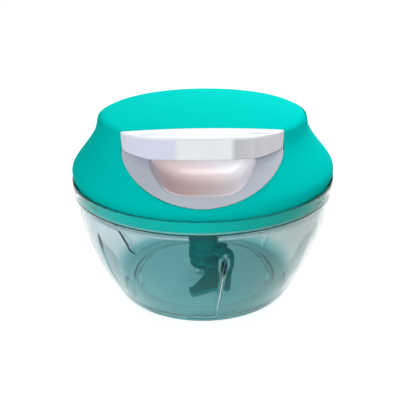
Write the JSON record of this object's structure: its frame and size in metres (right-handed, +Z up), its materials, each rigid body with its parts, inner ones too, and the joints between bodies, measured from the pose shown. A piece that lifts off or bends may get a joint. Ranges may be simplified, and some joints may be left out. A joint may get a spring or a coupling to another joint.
{
  "type": "manual food chopper",
  "caption": "Pull-cord food chopper: clear bowl with inner fins and a blade unit, bayonet lid with a recoil spool, and a recessed pull handle.",
  "frame": {"origin": "centre of the bowl's foot ring, on the surface that it stands on", "axes": "+Z up along the bowl's centre line, -Y towards the pull handle"},
  "size_m": [0.13, 0.13, 0.0928],
  "materials": {
    "clear_plastic": "clear moulded plastic",
    "lid_plastic": "satin teal moulded plastic",
    "base_plastic": "satin teal moulded plastic",
    "holder_plastic": "dark teal moulded plastic",
    "coated_blade": "dark teal coated steel",
    "handle_plastic": "glossy white moulded plastic",
    "inner_plastic": "white low-friction plastic",
    "silicone": "pale silicone",
    "cord": "braided white cord",
    "steel": "turned or stamped steel",
    "spring_steel": "blank spring steel"
  },
  "bodies": {
    "bowl": {"bowl": "clear_plastic", "spindle_pin": "steel"},
    "blades": {"blade_holder": "holder_plastic", "blade_lower": "coated_blade", "blade_upper": "coated_blade"},
    "seal": {"seal_ring": "silicone"},
    "lid": {"lid_cover": "lid_plastic", "lid_base": "base_plastic", "cover_screw_1": "steel", "cover_screw_2": "steel", "cover_screw_3": "steel", "cover_screw_4": "steel", "spool_axle": "steel", "axle_washer": "steel", "axle_clip": "steel", "cord_guide": "steel", "cord_lead": "cord", "recoil_spring": "spring_steel"},
    "spool": {"spool": "inner_plastic", "cord_winding": "cord"},
    "drive": {"drive_socket": "base_plastic", "socket_ring": "steel", "clutch_spring": "spring_steel"},
    "clutch": {"clutch_disc": "inner_plastic"},
    "handle": {"pull_handle": "handle_plastic", "cord_bead": "inner_plastic"}
  },
  "joints": [
    {"name": "blade_spin", "type": "hinge", "parent": "bowl", "child": "blades", "pos_m": [0, 0, 0], "axis": [0, 0, -1], "range_deg": [0, 1210]},
    {"name": "lid_lift", "type": "slide", "parent": "bowl", "child": "seal", "axis": [0, 0, 1], "range_m": [0, 0.1]},
    {"name": "lid_turn", "type": "hinge", "parent": "seal", "child": "lid", "pos_m": [0, 0, 0.06], "axis": [0, 0, -1], "range_deg": [0, 15]},
    {"name": "spool_spin", "type": "hinge", "parent": "lid", "child": "spool", "pos_m": [0, 0, 0.0865], "axis": [0, 0, -1], "range_deg": [0, 1210]},
    {"name": "drive_spin", "type": "hinge", "parent": "lid", "child": "drive", "pos_m": [0, 0, 0.06], "axis": [0, 0, -1], "range_deg": [0, 1210]},
    {"name": "clutch_release", "type": "slide", "parent": "drive", "child": "clutch", "axis": [0, 0, -1], "range_m": [0, 0.0012], "stiffness_N_per_m": 300, "springref_m": -0.003, "deforming": ["clutch_spring"]},
    {"name": "handle_pull", "type": "slide", "parent": "lid", "child": "handle", "axis": [0, -1, 0], "range_m": [0, 0.4], "stiffness_N_per_m": 17.5, "springref_m": -0.286, "deforming": ["cord_lead"]}
  ],
  "couplings": [
    {"joint": "blade_spin", "follows": "handle_pull", "rad_per_m": 52.356},
    {"joint": "spool_spin", "follows": "handle_pull", "rad_per_m": 52.356},
    {"joint": "drive_spin", "follows": "handle_pull", "rad_per_m": 52.356}
  ]
}
